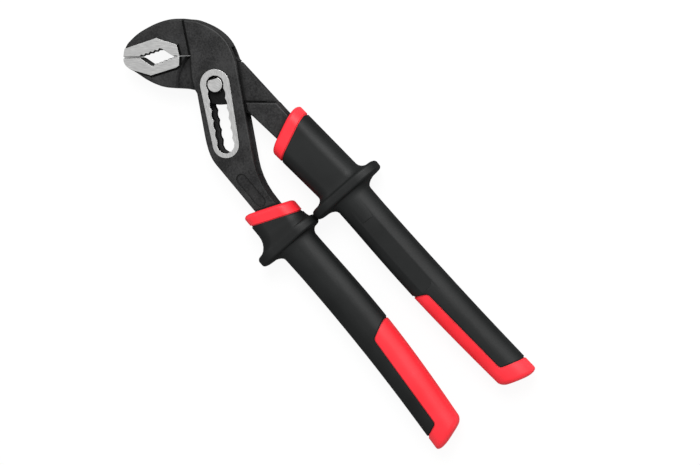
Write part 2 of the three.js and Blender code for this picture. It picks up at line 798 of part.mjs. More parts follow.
// The red core: a lining round the tang, with the collar, strip and heel that show
function gripCore(handle) {
  const form = skin(handle, handleSections(handle, 0));
  const lining = skin(handle, handleSections(handle, coverWall));
  return form.intersect(redZones(handle, 0)).add(lining)
    .subtract(tang(handle, gripGap))
    .subtract(seat(handle, gripGap));
}

// The black cover over the lining, with the guard
function gripCover(handle) {
  const form = skin(handle, handleSections(handle, 0)).add(skin(handle, guardSections(handle)));
  const lining = skin(handle, handleSections(handle, coverWall - gripGap));
  return form.subtract(redZones(handle, gripGap)).subtract(lining);
}

// The assembly, set on its base with the origin under the middle of its box
const tool = new THREE.Group();
tool.add(
  meshOf('outer_half', outerHalf(), steel),
  meshOf('inner_half', innerHalf(), steel),
  meshOf('joint_bolt', jointBolt(), bright),
  meshOf('bolt_spring_ring', springRing(), spring),
  meshOf('outer_grip_core', gripCore(handles.outer), red),
  meshOf('outer_grip_cover', gripCover(handles.outer), black),
  meshOf('inner_grip_core', gripCore(handles.inner), red),
  meshOf('inner_grip_cover', gripCover(handles.inner), black),
);
const bounds = new THREE.Box3().setFromObject(tool);
const middle = bounds.getCenter(new THREE.Vector3());
tool.position.set(-middle.x, -middle.y, -bounds.min.z);

const part = new THREE.Group();
part.add(tool);

export default part;
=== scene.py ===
import json
import math

import bpy
from mathutils import Matrix, Quaternion, Vector


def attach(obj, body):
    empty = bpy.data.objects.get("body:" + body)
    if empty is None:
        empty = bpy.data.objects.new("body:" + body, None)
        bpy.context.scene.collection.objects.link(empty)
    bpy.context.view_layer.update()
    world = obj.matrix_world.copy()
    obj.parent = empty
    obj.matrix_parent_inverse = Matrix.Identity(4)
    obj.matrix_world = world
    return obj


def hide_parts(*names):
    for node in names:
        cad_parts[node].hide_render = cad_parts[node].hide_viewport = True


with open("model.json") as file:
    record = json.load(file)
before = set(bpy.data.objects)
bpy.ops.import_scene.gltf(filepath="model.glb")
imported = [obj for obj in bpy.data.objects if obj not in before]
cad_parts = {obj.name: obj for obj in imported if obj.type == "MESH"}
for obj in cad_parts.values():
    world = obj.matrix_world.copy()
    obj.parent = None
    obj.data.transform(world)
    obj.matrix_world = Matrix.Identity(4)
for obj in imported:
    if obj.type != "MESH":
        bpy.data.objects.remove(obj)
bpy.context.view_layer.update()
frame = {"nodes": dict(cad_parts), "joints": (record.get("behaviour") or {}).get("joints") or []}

mm = 0.001
joints = {joint["name"]: joint for joint in frame["joints"]}
boltPlace = Vector(joints["handle_swing"]["pos_m"])


def place(x, y, z=0):
    return boltPlace + Vector((x, y, z)) * mm


# Small helpers for work in object and edit mode
meshWork = {"uprightSlack": 0.01, "uprightSegments": 6, "normalWeight": 80}


def report(stage):
    print("pliers:", stage)


def activate(piece):
    bpy.ops.object.select_all(action="DESELECT")
    piece.select_set(True)
    bpy.context.view_layer.objects.active = piece


def edit(piece):
    activate(piece)
    bpy.ops.object.mode_set(mode="EDIT")
    bpy.ops.mesh.select_all(action="DESELECT")


def leaveEdit():
    bpy.ops.object.mode_set(mode="OBJECT")


def named(name):
    piece = bpy.context.object
    piece.name = piece.data.name = name
    return piece


def applyPlace(piece):
    activate(piece)
    bpy.ops.object.transform_apply(location=True, rotation=True, scale=True)


def copyOf(source, name):
    piece = bpy.data.objects.new(name, source.data.copy())
    bpy.context.scene.collection.objects.link(piece)
    return piece


def withModifier(piece, kind, **settings):
    activate(piece)
    modifier = piece.modifiers.new(kind.lower(), kind)
    for setting, value in settings.items():
        setattr(modifier, setting, value)
    bpy.ops.object.modifier_apply(modifier=modifier.name)
    return piece


def combine(piece, other, operation, keep=False, **settings):
    withModifier(piece, "BOOLEAN", object=other, operation=operation, solver="EXACT", **settings)
    if not keep:
        bpy.data.objects.remove(other)
    return piece


def cleanMesh(piece, weld, flatAngle):
    edit(piece)
    bpy.ops.mesh.select_all(action="SELECT")
    bpy.ops.mesh.remove_doubles(threshold=weld * mm)
    bpy.ops.mesh.dissolve_limited(angle_limit=math.radians(flatAngle),
                                  delimit={"NORMAL", "MATERIAL"})
    bpy.ops.mesh.normals_make_consistent(inside=False)
    leaveEdit()
    return piece


def roundUprights(piece, radius):
    # The edges that stand along Z are rounded in plan
    edit(piece)
    bpy.ops.mesh.select_mode(type="EDGE")
    leaveEdit()
    for edge in piece.data.edges:
        first, second = (piece.data.vertices[index].co for index in edge.vertices)
        edge.select = (first.xy - second.xy).length < meshWork["uprightSlack"] * mm
    bpy.ops.object.mode_set(mode="EDIT")
    bpy.ops.mesh.bevel(offset=radius * mm, segments=meshWork["uprightSegments"])
    leaveEdit()
    return piece


def smoothEdges(piece, width, segments, angle, smoothAngle):
    sharp = copyOf(piece, "sharpForm")
    withModifier(piece, "BEVEL", width=width * mm, segments=segments, limit_method="ANGLE",
                 angle_limit=math.radians(angle), use_clamp_overlap=False, miter_outer="MITER_ARC")
    for vertex in piece.data.vertices:
        spot = sharp.closest_point_on_mesh(vertex.co)[1]
        if (spot - vertex.co).length > width * mm:  # a corner thrown out where edges nearly meet
            vertex.co = spot
    bpy.data.objects.remove(sharp)
    activate(piece)
    bpy.ops.object.shade_smooth_by_angle(angle=math.radians(smoothAngle))
    withModifier(piece, "WEIGHTED_NORMAL", keep_sharp=True, weight=meshWork["normalWeight"])
    return piece


# Camera: its direction and distance from a point on the tool, its roll, and its focal length in
# pixels of an image of that width
view = {"target": (95.9, 1.0, -8.65), "distance": 1100, "azimuth": 162.927, "elevation": 75.825,
        "roll": -113.277, "focal": 2266, "imageWidth": 700, "sensor": 36}


def addCamera():
    azimuth, elevation = math.radians(view["azimuth"]), math.radians(view["elevation"])
    back = Vector((math.sin(azimuth) * math.cos(elevation),
                   -math.cos(azimuth) * math.cos(elevation), math.sin(elevation)))
    target = place(*view["target"])
    bpy.ops.object.camera_add(location=target + back * view["distance"] * mm)
    camera = bpy.context.object
    camera.name = "viewCamera"
    camera.rotation_mode = "QUATERNION"
    roll = Quaternion((0, 0, 1), math.radians(view["roll"]))
    camera.rotation_quaternion = (-back).to_track_quat("-Z", "Y") @ roll
    camera.data.sensor_width = view["sensor"]
    camera.data.lens = view["sensor"] * view["focal"] / view["imageWidth"]
    bpy.context.scene.camera = camera


# Material building: short helpers, then the groups that several finishes share
noiseRange = (0.3, 0.7)  # where most values of a noise lie
cloudRange = (0.35, 0.65)
# Settings of the rubbed edges with their painted highlight, and of the painted crevice shade
masks = {"wearAndSheenSamples": 6, "wornAndSheenEdge": (0.995, 0.8), "shadeSamples": 16}


def addNode(tree, kind, inputs=None, **settings):
    node = tree.nodes.new(kind)
    for setting, value in settings.items():
        setattr(node, setting, value)
    for socket, value in (inputs or {}).items():
        if isinstance(value, bpy.types.NodeSocket):
            tree.links.new(value, node.inputs[socket])
        else:
            node.inputs[socket].default_value = value
    return node


def newGroup(name, inputs, outputs):
    group = bpy.data.node_groups.new(name, "ShaderNodeTree")
    for socket, (kind, value) in inputs.items():
        item = group.interface.new_socket(socket, in_out="INPUT", socket_type=kind)
        if value is not None:
            item.default_value = value
    for socket, kind in outputs.items():
        group.interface.new_socket(socket, in_out="OUTPUT", socket_type=kind)
    start, end = addNode(group, "NodeGroupInput"), addNode(group, "NodeGroupOutput")
    return group, start, end


def remap(tree, value, low, high, toLow=0.0, toHigh=1.0):
    node = addNode(tree, "ShaderNodeMapRange", {"Value": value, "From Min": low, "From Max": high,
                                                "To Min": toLow, "To Max": toHigh})
    return node.outputs["Result"]


def multiply(tree, first, second):
    node = addNode(tree, "ShaderNodeMath", {0: first, 1: second}, operation="MULTIPLY")
    return node.outputs["Value"]


def makeGrain():
    # Fine grain of a cast or moulded skin, and slow cloudy changes of tone
    group, start, end = newGroup(
        "surfaceGrain",
        {"Coordinates": ("NodeSocketVector", None), "Grain Size": ("NodeSocketFloat", 0.5),
         "Cloud Size": ("NodeSocketFloat", 20.0)},
        {"Grain": "NodeSocketFloat", "Clouds": "NodeSocketFloat"})
    inMm = addNode(group, "ShaderNodeVectorMath", {0: start.outputs["Coordinates"], "Scale": 1 / mm},
                   operation="SCALE").outputs["Vector"]
    for size, out, detail in (("Grain Size", "Grain", 3), ("Cloud Size", "Clouds", 2)):
        scale = addNode(group, "ShaderNodeMath", {0: 1.0, 1: start.outputs[size]}, operation="DIVIDE")
        noise = addNode(group, "ShaderNodeTexNoise",
                        {"Vector": inMm, "Scale": scale.outputs["Value"], "Detail": detail})
        group.links.new(noise.outputs["Fac"], end.inputs[out])
    return group


def makeWearAndSheen():
    # Rubbed edges that also carry a painted highlight: where a rounded normal turns away from the true
    # one
    group, start, end = newGroup(
        "edgeWearAndSheen",
        {"Width": ("NodeSocketFloat", 0.3), "Grain": ("NodeSocketFloat", 0.5)},
        {"Wear And Sheen": "NodeSocketFloat"})
    radius = multiply(group, start.outputs["Width"], mm)
    rounded = addNode(group, "ShaderNodeBevel", {"Radius": radius}, samples=masks["wearAndSheenSamples"])
    normal = addNode(group, "ShaderNodeNewGeometry")
    dot = addNode(group, "ShaderNodeVectorMath",
                  {0: rounded.outputs["Normal"], 1: normal.outputs["True Normal"]},
                  operation="DOT_PRODUCT")
    edge = remap(group, dot.outputs["Value"], *masks["wornAndSheenEdge"])
    patches = remap(group, start.outputs["Grain"], *cloudRange)
    group.links.new(multiply(group, edge, patches), end.inputs["Wear And Sheen"])
    return group


def makeCrevice():
    # Painted shade: corners and gaps that the light hardly reaches are darkened, found by ambient
    # occlusion
    group, start, end = newGroup(
        "creviceShade", {"Distance": ("NodeSocketFloat", 1.0), "Open": ("NodeSocketFloat", 0.9),
                        "Closed": ("NodeSocketFloat", 0.5)}, {"Painted Shade": "NodeSocketFloat"})
    distance = multiply(group, start.outputs["Distance"], mm)
    shade = addNode(group, "ShaderNodeAmbientOcclusion", {"Distance": distance},
                    samples=masks["shadeSamples"])
    paintedShade = addNode(group, "ShaderNodeMapRange", {
        "Value": shade.outputs["AO"], "From Min": start.outputs["Open"],
        "From Max": start.outputs["Closed"]})
    group.links.new(paintedShade.outputs["Result"], end.inputs["Painted Shade"])
    return group


def makeStrokes():
    # Fine parallel scratches of a ground face, long along one direction
    group, start, end = newGroup(
        "grindStrokes",
        {"Coordinates": ("NodeSocketVector", None), "Angle": ("NodeSocketFloat", 0.0),
         "Spacing": ("NodeSocketFloat", 0.12), "Length": ("NodeSocketFloat", 6.0)},
        {"Strokes": "NodeSocketFloat"})
    inMm = addNode(group, "ShaderNodeVectorMath", {0: start.outputs["Coordinates"], "Scale": 1 / mm},
                   operation="SCALE").outputs["Vector"]
    turned = addNode(group, "ShaderNodeVectorRotate",
                     {"Vector": inMm, "Angle": start.outputs["Angle"]}, rotation_type="Z_AXIS")
    along = addNode(group, "ShaderNodeMath", {0: 1.0, 1: start.outputs["Length"]},
                    operation="DIVIDE")
    across = addNode(group, "ShaderNodeMath", {0: 1.0, 1: start.outputs["Spacing"]},
                     operation="DIVIDE")
    stretch = addNode(group, "ShaderNodeCombineXYZ",
                      {"X": along.outputs["Value"], "Y": across.outputs["Value"],
                       "Z": across.outputs["Value"]})
    scaled = addNode(group, "ShaderNodeVectorMath",
                     {0: turned.outputs["Vector"], 1: stretch.outputs["Vector"]}, operation="MULTIPLY")
    noise = addNode(group, "ShaderNodeTexNoise",
                    {"Vector": scaled.outputs["Vector"], "Scale": 1.0, "Detail": 2.0})
    group.links.new(noise.outputs["Fac"], end.inputs["Strokes"])
    return group


def useGroup(tree, group, inputs):
    return addNode(tree, "ShaderNodeGroup", inputs, node_tree=group)


def mixColours(tree, share, first, second):
    # A Mix node has its sockets once for each kind of data: inputs 6 and 7 and output 2 are colours
    node = addNode(tree, "ShaderNodeMix", data_type="RGBA")
    tree.links.new(share, node.inputs["Factor"])
    for socket, colour in ((node.inputs[6], first), (node.inputs[7], second)):
        if isinstance(colour, bpy.types.NodeSocket):
            tree.links.new(colour, socket)
        else:
            socket.default_value = (*colour, 1)
    return node.outputs[2]


def newMaterial(name, metallic, specular):
    material = bpy.data.materials.new(name)
    material.use_nodes = True
    tree = material.node_tree
    shader = tree.nodes["Principled BSDF"]
    shader.inputs["Metallic"].default_value = metallic
    shader.inputs["Specular IOR Level"].default_value = specular
    coordinates = addNode(tree, "ShaderNodeTexCoord").outputs["Object"]
    return material, tree, shader, coordinates


def bumpFrom(tree, shader, height, strength, depth):
    bump = addNode(tree, "ShaderNodeBump",
                   {"Height": height, "Strength": strength, "Distance": depth * mm})
    tree.links.new(bump.outputs["Normal"], shader.inputs["Normal"])


# Black forged skin: cloudy tones with grain, rubbed edges with a painted highlight along them, and
# painted shade close to corners and deep in gaps
forgedFinish = {
    "colour": (0.007, 0.007, 0.0072), "light": (0.024, 0.024, 0.0243), "toneRange": (0.8, 1.2),
    "grainSize": 0.8, "cloudSize": 9, "wornAndSheen": (0.12, 0.12, 0.12), "wornAndSheenShare": 0.3, "wearAndSheenWidth": 0.25,
    "paintedShade": (0.001, 0.001, 0.001), "shadeNear": 1.6, "nearOpen": 0.97, "nearClosed": 0.78, "shadeDeep": 6,
    "rough": (0.42, 0.6), "bump": 0.8, "bumpDepth": 0.08, "specular": 0.27,
}
# Painted shade: a near-black skin for the slot's walls, the grooves and the bolt's sides, where shade
# falls
paintedShadeFinish = {**forgedFinish, "colour": (0.003, 0.003, 0.003), "light": (0.006, 0.006, 0.006),
                   "specular": 0.1}
# Painted shade on the web, where the slot shades it: full as far as the first distance from the bolt,
# and none beyond the second
webFinish = {**forgedFinish, "slotShade": (11, 13.5), "specular": 0.2}
toothFinish = {**forgedFinish, "colour": (0.03, 0.03, 0.03), "light": (0.07, 0.07, 0.07),
               "shadeNear": 0.5, "shadeDeep": 0.8}


def makeForgedSteel(name, finish):
    material, tree, shader, coordinates = newMaterial(name, 0.0, finish["specular"])
    grain = useGroup(tree, groups["grain"], {
        "Coordinates": coordinates, "Grain Size": finish["grainSize"],
        "Cloud Size": finish["cloudSize"]})
    wearAndSheen = useGroup(tree, groups["wearAndSheen"], {
        "Width": finish["wearAndSheenWidth"], "Grain": grain.outputs["Grain"]})
    # Painted shade close to corners and deep in gaps
    close = useGroup(tree, groups["crevice"], {
        "Distance": finish["shadeNear"], "Open": finish["nearOpen"], "Closed": finish["nearClosed"]})
    deep = useGroup(tree, groups["crevice"], {"Distance": finish["shadeDeep"]})
    paintedShade = addNode(tree, "ShaderNodeMath", {0: close.outputs["Painted Shade"], 1: deep.outputs["Painted Shade"]},
                   operation="MAXIMUM")
    # Painted shade on the web round the bolt, standing for the slot's shadow
    if "slotShade" in finish:
        fromBolt = addNode(tree, "ShaderNodeVectorMath", {0: coordinates, 1: boltPlace},
                           operation="DISTANCE")
        near, far = finish["slotShade"]
        slotShadeShare = remap(tree, fromBolt.outputs["Value"], far * mm, near * mm)
        paintedShade = addNode(tree, "ShaderNodeMath", {0: paintedShade.outputs["Value"], 1: slotShadeShare},
                       operation="MAXIMUM")
    tone = addNode(tree, "ShaderNodeMath", {0: grain.outputs["Clouds"], 1: grain.outputs["Grain"]},
                   operation="ADD")
    lightness = remap(tree, tone.outputs["Value"], *finish["toneRange"])
    skin = mixColours(tree, lightness, finish["colour"], finish["light"])
    # Rubbed edges, lightened also as a painted highlight
    wornAndSheenShare = multiply(tree, wearAndSheen.outputs["Wear And Sheen"], finish["wornAndSheenShare"])
    rubbedAndSheen = mixColours(tree, wornAndSheenShare, skin, finish["wornAndSheen"])
    shown = mixColours(tree, paintedShade.outputs["Value"], rubbedAndSheen, finish["paintedShade"])
    tree.links.new(shown, shader.inputs["Base Color"])
    rough = remap(tree, grain.outputs["Grain"], *noiseRange, *finish["rough"])
    tree.links.new(rough, shader.inputs["Roughness"])
    bumpFrom(tree, shader, grain.outputs["Grain"], finish["bump"], finish["bumpDepth"])
    return material


# Ground steel: fine strokes along one direction, with painted shade in its crevices
groundFinish = {
    "colour": (0.48, 0.48, 0.477), "light": (0.62, 0.62, 0.615), "paintedShade": (0.05, 0.05, 0.05),
    "shadeDistance": 0.5, "spacing": 0.2, "length": 3, "rough": (0.34, 0.46), "bump": 0.35,
    "bumpDepth": 0.012, "metallic": 0.75, "specular": 0.5,
}


def makeGroundSteel(name, angle):
    finish = groundFinish
    material, tree, shader, coordinates = newMaterial(name, finish["metallic"], finish["specular"])
    strokes = useGroup(tree, groups["strokes"], {
        "Coordinates": coordinates, "Angle": math.radians(-angle), "Spacing": finish["spacing"],
        "Length": finish["length"]}).outputs["Strokes"]
    tone = mixColours(tree, remap(tree, strokes, *noiseRange), finish["colour"], finish["light"])
    # Painted shade in the crevices of the ground steel
    paintedShade = useGroup(tree, groups["crevice"], {"Distance": finish["shadeDistance"]}).outputs["Painted Shade"]
    tree.links.new(mixColours(tree, paintedShade, tone, finish["paintedShade"]), shader.inputs["Base Color"])
    tree.links.new(remap(tree, strokes, *noiseRange, *finish["rough"]), shader.inputs["Roughness"])
    bumpFrom(tree, shader, strokes, finish["bump"], finish["bumpDepth"])
    return material


# Moulded plastic: what both colours share, then each colour; both take painted shade in the seam and
# crevices, and rubbed edges with a painted highlight
plasticSkin = {"cloudSize": 18, "wearAndSheenWidth": 0.4, "rubbedAndSheenShare": 0.35, "shadeDistance": 0.7,
               "bumpDepth": 0.03, "specular": 0.3}
plasticFinishes = {
    "redPlastic": {
        "colour": (0.8, 0.017, 0.028), "light": (0.88, 0.027, 0.042), "paintedShade": (0.2, 0.002, 0.004),
        "rubbedAndSheen": (0.95, 0.06, 0.07), "grainSize": 0.22, "rough": (0.4, 0.52), "bump": 0.2},
    "blackPlastic": {
        "colour": (0.0045, 0.0052, 0.0052), "light": (0.0075, 0.0085, 0.0085),
        "paintedShade": (0.001, 0.001, 0.001), "rubbedAndSheen": (0.04, 0.042, 0.042), "grainSize": 0.28,
        "rough": (0.5, 0.62), "bump": 0.35},
}


def makePlastic(name):
    finish = {**plasticSkin, **plasticFinishes[name]}
    material, tree, shader, coordinates = newMaterial(name, 0.0, finish["specular"])
    grain = useGroup(tree, groups["grain"], {
        "Coordinates": coordinates, "Grain Size": finish["grainSize"],
        "Cloud Size": finish["cloudSize"]})
    wearAndSheen = useGroup(tree, groups["wearAndSheen"], {
        "Width": finish["wearAndSheenWidth"], "Grain": grain.outputs["Grain"]})
    # Painted shade in the seam and the crevices of the grip
    paintedShade = useGroup(tree, groups["crevice"], {"Distance": finish["shadeDistance"]})
    lightness = remap(tree, grain.outputs["Clouds"], *cloudRange)
    skin = mixColours(tree, lightness, finish["colour"], finish["light"])
    # Rubbed edges, lightened also as a painted highlight
    rubbedAndSheenShare = multiply(tree, wearAndSheen.outputs["Wear And Sheen"], finish["rubbedAndSheenShare"])
    rubbedAndSheen = mixColours(tree, rubbedAndSheenShare, skin, finish["rubbedAndSheen"])
    shown = mixColours(tree, paintedShade.outputs["Painted Shade"], rubbedAndSheen, finish["paintedShade"])
    tree.links.new(shown, shader.inputs["Base Color"])
    rough = remap(tree, grain.outputs["Grain"], *noiseRange, *finish["rough"])
    tree.links.new(rough, shader.inputs["Roughness"])
    bumpFrom(tree, shader, grain.outputs["Grain"], finish["bump"], finish["bumpDepth"])
    return material


# The two forgings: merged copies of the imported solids, with rounded edges and ground faces
forging = {
    "weld": 0.002, "flatAngle": 0.02,  # for the copy of the solid
    "cutWeld": 0.06, "cutFlatAngle": 1,  # once the grooves are cut
    "edgeWidth": 0.16, "edgeSegments": 2, "edgeAngle": 32, "smoothAngle": 38,
    "padHeight": 4.75, "bandHeight": 5.75, "webHeight": 2.5, "heightPlay": 0.03,  # from the middle
    "level": 0.999, "upright": 0.5,  # a level face's normal rises by more, a wall's by less
    "slotAngle": -30.5, "slotBox": ((-5, -4.9), (34.5, 4.9)),  # two corners, along and across
    "jawAngle": 49, "mouthBox": {"outer_half": ((-38.2, 13), (-21.4, 17.9)),
                                 "inner_half": ((-38.2, 7.6), (-21.4, 13.2))},
}
forgingFinishes = ("forgedSteel", "jawGroundSteel", "bandGroundSteel", "paintedShadeSteel", "webSteel",
                   "toothSteel")


def groundFaces(piece, height, finish):
    middle = boltPlace.z
    play = forging["heightPlay"] * mm
    for polygon in piece.data.polygons:
        isLevel = abs(polygon.normal.z) > forging["level"]
        if isLevel and abs(abs(polygon.center.z - middle) - height * mm) < play:
            polygon.material_index = forgingFinishes.index(finish)


def finishInside(piece, body):
    # The toothed walls of the mouth; the walls of the slot, painted near-black as painted shade; and
    # the web round the bolt, which takes painted shade where the slot shades it
    for polygon in piece.data.polygons:
        spot = (polygon.center - boltPlace) / mm
        isWall = abs(polygon.normal.z) < forging["upright"]
        if isWall and isWithin(spot, forging["jawAngle"], forging["mouthBox"][body]):
            polygon.material_index = forgingFinishes.index("toothSteel")
        # The slot's walls are painted near-black as painted shade
        if isWall and body == "outer_half" and isWithin(spot, forging["slotAngle"], forging["slotBox"]):
            polygon.material_index = forgingFinishes.index("paintedShadeSteel")
        isWeb = abs(abs(spot.z) - forging["webHeight"]) < forging["heightPlay"]
        if body == "inner_half" and isWeb and abs(polygon.normal.z) > forging["level"]:
            polygon.material_index = forgingFinishes.index("webSteel")


def isWithin(spot, angle, box):
    turned = Matrix.Rotation(math.radians(-angle), 3, "Z") @ spot
    (left, low), (right, high) = box
    return left < turned.x < right and low < turned.y < high


# Painted shadow lines at the feet of steps and where the jaws meet: grooves filled with the near-black
# of painted shade, drawn like the jaws: along and up
creases = {
    "outer_half": [
        {"from": (-48, 12.6), "to": (-19.4, 13.5), "height": 4.75, "width": 0.75, "depth": 1.4},
        {"from": (-16.4, 30.8), "to": (-12.9, 13.7), "height": 4.5, "width": 1, "depth": 0.45},
        {"from": (-18.95, 19.4), "to": (-17.4, 13.5), "height": 4.5, "width": 1.1, "depth": 0.9},
    ],
    "inner_half": [
        {"from": (-48, 12.6), "to": (-19.4, 13.5), "height": 4.75, "width": 0.75, "depth": 1.4},
        {"from": (-42, 6.25), "to": (-32.3, 3.6), "height": 4.5, "width": 0.7, "depth": 0.8},
        {"from": (-32.7, 3.45), "to": (-19.0, 7.55), "height": 4.5, "width": 1.1, "depth": 0.9},
        {"from": (-19.4, 7.5), "to": (-17.6, 8.8), "height": 4.5, "width": 1.1, "depth": 0.9},
        {"from": (-17.6, 8.2), "to": (-17.5, 13.1), "height": 4.5, "width": 1.1, "depth": 0.9},
        {"from": (11, -8.2), "to": (25, -8.2), "height": 2.5, "width": 0.6, "depth": 0.4},
    ],
}


def makeGroove(line, side):
    first, second = Vector(line["from"]), Vector(line["to"])
    middle, run = (first + second) / 2, second - first
    turn = math.radians(forging["jawAngle"])
    spot = Matrix.Rotation(turn, 3, "Z") @ Vector((*middle, side * line["height"]))
    bpy.ops.object.select_all(action="DESELECT")
    bpy.ops.mesh.primitive_cube_add(
        size=1, location=boltPlace + spot * mm, rotation=(0, 0, turn + math.atan2(run.y, run.x)),
        scale=(run.length * mm, line["width"] * mm, line["depth"] * 2 * mm))
    groove = named("groove")
    applyPlace(groove)
    # The groove is filled with the near-black of painted shade
    groove.data.materials.append(materials["paintedShadeSteel"])
    return groove


def makeForging(node, body):
    piece = copyOf(frame["nodes"][node], node + "_forging")
    activate(piece)
    bpy.ops.mesh.customdata_custom_splitnormals_clear()
    cleanMesh(piece, forging["weld"], forging["flatAngle"])
    piece.data.materials.clear()
    for finish in forgingFinishes:
        piece.data.materials.append(materials[finish])
    for polygon in piece.data.polygons:
        polygon.material_index = 0
    groundFaces(piece, forging["padHeight"], "jawGroundSteel")
    groundFaces(piece, forging["bandHeight"], "bandGroundSteel")
    finishInside(piece, body)
    for line in creases[body]:
        for side in (-1, 1):
            combine(piece, makeGroove(line, side), "DIFFERENCE", material_mode="TRANSFER")
    cleanMesh(piece, forging["cutWeld"], forging["cutFlatAngle"])
    smoothEdges(piece, forging["edgeWidth"], forging["edgeSegments"], forging["edgeAngle"],
                forging["smoothAngle"])
    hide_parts(node)
    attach(piece, body)
    report(node + " " + str(len(piece.data.polygons)) + " faces")


# The joint bolt: a turned pin with a groove for its spring ring and a flat on each end
bolt = {
    "diameter": 7.4, "length": 11.5, "sides": 96, "grooveWidth": 1.6, "grooveDepth": 0.75,
    "hair": 0.001,  # the groove's walls stand this much off upright
    "flat": 2.75, "flatFrom": 2.75, "flatAngle": 156,  # from the axis, from the middle, and its side
    "rim": 0.55, "dish": 0.12, "level": 0.99,
    "weld": 0.002, "flatten": 0.3, "chamfer": 0.4, "edgeSegments": 3, "edgeAngle": 50,
    "smoothAngle": 35, "bareEnd": 1.5, "strokeAngle": 20,  # bare for 1.5 chamfers from each end
}


def selectFaces(piece, test):
    leaveEdit()
    for polygon in piece.data.polygons:
        polygon.select = test(polygon)
    bpy.ops.object.mode_set(mode="EDIT")
    bpy.ops.mesh.select_mode(type="FACE")


def makeBolt():
    radius = bolt["diameter"] / 2
    half = bolt["length"] / 2
    bpy.ops.object.select_all(action="DESELECT")
    bpy.ops.mesh.primitive_cylinder_add(vertices=bolt["sides"], radius=radius * mm,
                                        depth=bolt["length"] * mm, location=boltPlace)
    piece = named("turned_bolt")
    applyPlace(piece)
    edit(piece)
    for side in (1, -1):
        for height in (bolt["grooveWidth"] / 2, bolt["grooveWidth"] / 2 - bolt["hair"]):
            bpy.ops.mesh.select_all(action="SELECT")
            bpy.ops.mesh.bisect(plane_co=place(0, 0, side * height), plane_no=(0, 0, 1))
    grooveEdge = (bolt["grooveWidth"] / 2 - 1.5 * bolt["hair"]) * mm
    selectFaces(piece, lambda face: abs(face.center.z - boltPlace.z) < grooveEdge)
    share = 1 - bolt["grooveDepth"] / radius
    bpy.ops.transform.resize(value=(share, share, 1), center_override=boltPlace)
    for side in (1, -1):
        selectFaces(piece, lambda face: side * face.normal.z > bolt["level"] and
                    side * (face.center.z - boltPlace.z) > bolt["level"] * half * mm)
        bpy.ops.mesh.inset(thickness=bolt["rim"] * mm, depth=0)
        bpy.ops.mesh.inset(thickness=bolt["dish"] * mm, depth=-bolt["dish"] * mm)
    leaveEdit()
    direction = Vector((math.cos(math.radians(bolt["flatAngle"])),
                        math.sin(math.radians(bolt["flatAngle"])), 0))
    for side in (1, -1):
        bpy.ops.object.select_all(action="DESELECT")
        size = bolt["diameter"]
        middle = place(*(direction * (bolt["flat"] + size / 2)).xy,
                       side * (bolt["flatFrom"] + size / 2))
        bpy.ops.mesh.primitive_cube_add(size=size * mm, location=middle,
                                        rotation=(0, 0, math.radians(bolt["flatAngle"])))
        combine(piece, named("flatCutter"), "DIFFERENCE")
    cleanMesh(piece, bolt["weld"], bolt["flatten"])
    smoothEdges(piece, bolt["chamfer"] / 2, bolt["edgeSegments"], bolt["edgeAngle"],
                bolt["smoothAngle"])
    piece.data.materials.clear()
    for finish in ("paintedShadeSteel", "boltSteel"):
        piece.data.materials.append(materials[finish])
    # The bolt's sides take the near-black of painted shade, as deep in the slot; only its ends show
    # ground steel
    for polygon in piece.data.polygons:
        away = abs(polygon.center.z - boltPlace.z)
        polygon.material_index = int(away > (half - bolt["chamfer"] * bolt["bareEnd"]) * mm)
    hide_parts("joint_bolt")
    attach(piece, "bolt")
    report("bolt")


# The spring ring: round wire spun most of the way round the bolt
springRing = {"wire": 1.1, "inner": 3.2, "opening": 50, "sides": 20, "steps": 72, "weld": 0.001,
              "smoothAngle": 40}


def makeSpringRing():
    radius = springRing["wire"] / 2
    middle = springRing["inner"] + radius
    half = math.radians(springRing["opening"] / 2)
    start = place(middle * math.cos(half), middle * math.sin(half))
    bpy.ops.object.select_all(action="DESELECT")
    bpy.ops.mesh.primitive_circle_add(vertices=springRing["sides"], radius=radius * mm,
                                      fill_type="NGON", location=start,
                                      rotation=(math.radians(90), 0, half))
    piece = named("spring_ring_wire")
    applyPlace(piece)
    edit(piece)
    bpy.ops.mesh.select_all(action="SELECT")
    bpy.ops.mesh.spin(steps=springRing["steps"], angle=2 * math.pi - 2 * half, center=boltPlace,
                      axis=(0, 0, 1))
    bpy.ops.mesh.select_all(action="SELECT")
    bpy.ops.mesh.remove_doubles(threshold=springRing["weld"] * mm)
    bpy.ops.mesh.normals_make_consistent(inside=False)
    leaveEdit()
    activate(piece)
    bpy.ops.object.shade_smooth_by_angle(angle=math.radians(springRing["smoothAngle"]))
    piece.data.materials.append(materials["springSteel"])
    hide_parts("bolt_spring_ring")
    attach(piece, "ring")
    report("spring ring")


# Grips: one smooth form for each handle, divided into the red core and the black cover
grip = {
    "sleeveWidth": 24, "sleeveThickness": 16, "sleeveStretch": 1.05, "sleeveSteps": 8,
    "gripLength": 120, "gripWidth": 19, "gripThickness": 15, "gripStretch": 1.45, "gripSteps": 40,
    "swell": (1, 0.99, 1, 1.01, 1.01, 1, 0.985, 0.97, 0.95),  # share of the width, guard to heel
    "corner": 6.4, "cornerSegments": 8, "edge": 1.6, "wall": 2.6, "least": 0.05, "arcSteps": 6,
    "collarLength": 6.7, "collarSlant": 22.3, "frontRounding": 2, "acuteRounding": 2.1,
    "guardStart": 77.4, "guardThickness": 5.2, "guardDepth": 19.99, "guardOuterReach": 19.99,
    "guardMeeting": -5, "guardGap": 0.8, "guardEdge": 1.7, "rimShare": 0.7, "rearFlare": 3.8,
    "heelCap": 9.6, "heelSlant": 18, "heelRounding": 3, "stripLength": 59, "stripSlant": 26,
    "seamWidth": 1, "seamDepth": 0.5, "roomCorner": 1.4, "blockSize": 400, "blockCentre": 120,
    "weld": 0.03, "flatAngle": 0.1, "rim": 0.12, "rimSegments": 2, "rimAngle": 40, "smoothAngle": 40,
}
